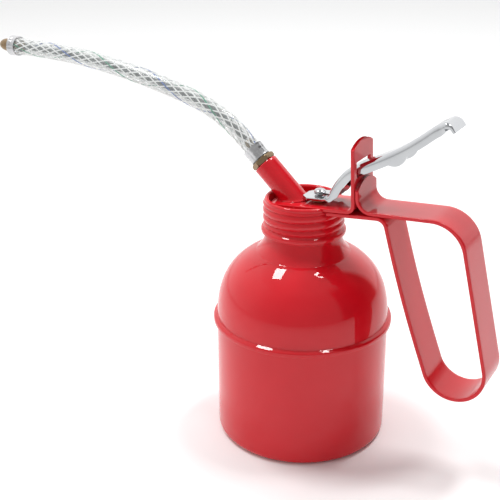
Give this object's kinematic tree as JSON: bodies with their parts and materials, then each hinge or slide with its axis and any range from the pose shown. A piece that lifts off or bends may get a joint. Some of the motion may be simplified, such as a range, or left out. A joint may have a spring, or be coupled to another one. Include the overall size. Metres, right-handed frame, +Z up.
{
  "type": "oil can",
  "caption": "Red metal pump oiler with a domed can, screwed pump head, strap handle, chromed thumb lever and a long clear braided hose spout.",
  "frame": {"origin": "centre of the flat bottom of the can, on the can's axis", "axes": "+Z up along the can's axis, +X towards the handle and the thumb lever, -X along the spout, Y across the lever"},
  "size_m": [0.3361, 0.1052, 0.2185],
  "materials": {
    "red_enamel": "gloss enamel on sheet steel",
    "chrome": "bright plated",
    "brass": "turned",
    "aluminium": "bright crimped",
    "steel": "plain",
    "clear_pvc": "clear hose with a white braid inside its wall",
    "rubber": "nitrile"
  },
  "bodies": {
    "can": {"can_cup": "red_enamel", "can_dome": "red_enamel"},
    "seal": {"cap_gasket": "rubber"},
    "head": {"screw_cap": "red_enamel", "fulcrum_bracket": "red_enamel", "handle_strap": "red_enamel", "spout_tube": "red_enamel", "spout_eyelet": "brass", "hose_adapter": "brass", "hose": "clear_pvc", "hose_ferrule": "aluminium", "tip_ferrule": "aluminium", "spray_nozzle": "brass", "pump_head": "aluminium", "pump_barrel": "steel", "rod_gland": "brass", "rod_packing": "rubber", "barrel_foot": "brass", "ball_retainer": "steel", "suction_tube": "steel", "strainer": "steel", "return_spring": "steel", "delivery_spring": "steel"},
    "lever": {"lever": "chrome"},
    "plunger": {"rod_head": "chrome", "head_washer": "steel", "pump_rod": "steel", "piston": "brass", "piston_seal": "rubber", "piston_nut": "brass"},
    "inlet_valve": {"inlet_ball": "steel"},
    "delivery_valve": {"delivery_ball": "steel"}
  },
  "joints": [
    {"name": "cap_lift", "type": "slide", "parent": "can", "child": "seal", "axis": [0, 0, 1], "range_m": [0, 0.0135]},
    {"name": "cap_unscrew", "type": "hinge", "parent": "seal", "child": "head", "pos_m": [0, 0, 0.135], "axis": [0, 0, 1], "range_deg": [0, 1080]},
    {"name": "thumb_lever", "type": "hinge", "parent": "head", "child": "lever", "pos_m": [0.03503, 0, 0.16634], "axis": [0, 1, 0], "range_deg": [0, 15], "stiffness_Nm_per_rad": 0.6, "springref_deg": -5.73},
    {"name": "plunger_slide", "type": "slide", "parent": "head", "child": "plunger", "axis": [0, 0, 1], "range_m": [0, 0.0068], "deforming": ["return_spring"]},
    {"name": "inlet_lift", "type": "slide", "parent": "head", "child": "inlet_valve", "axis": [0, 0, 1], "range_m": [0, 0.002]},
    {"name": "delivery_lift", "type": "slide", "parent": "head", "child": "delivery_valve", "axis": [0, 0, 1], "range_m": [0, 0.0012], "stiffness_N_per_m": 60, "springref_m": -0.001, "deforming": ["delivery_spring"]}
  ],
  "couplings": [
    {"joint": "cap_unscrew", "follows": "cap_lift", "rad_per_m": 1396.2},
    {"joint": "plunger_slide", "follows": "thumb_lever", "m_per_rad": 0.0258}
  ]
}
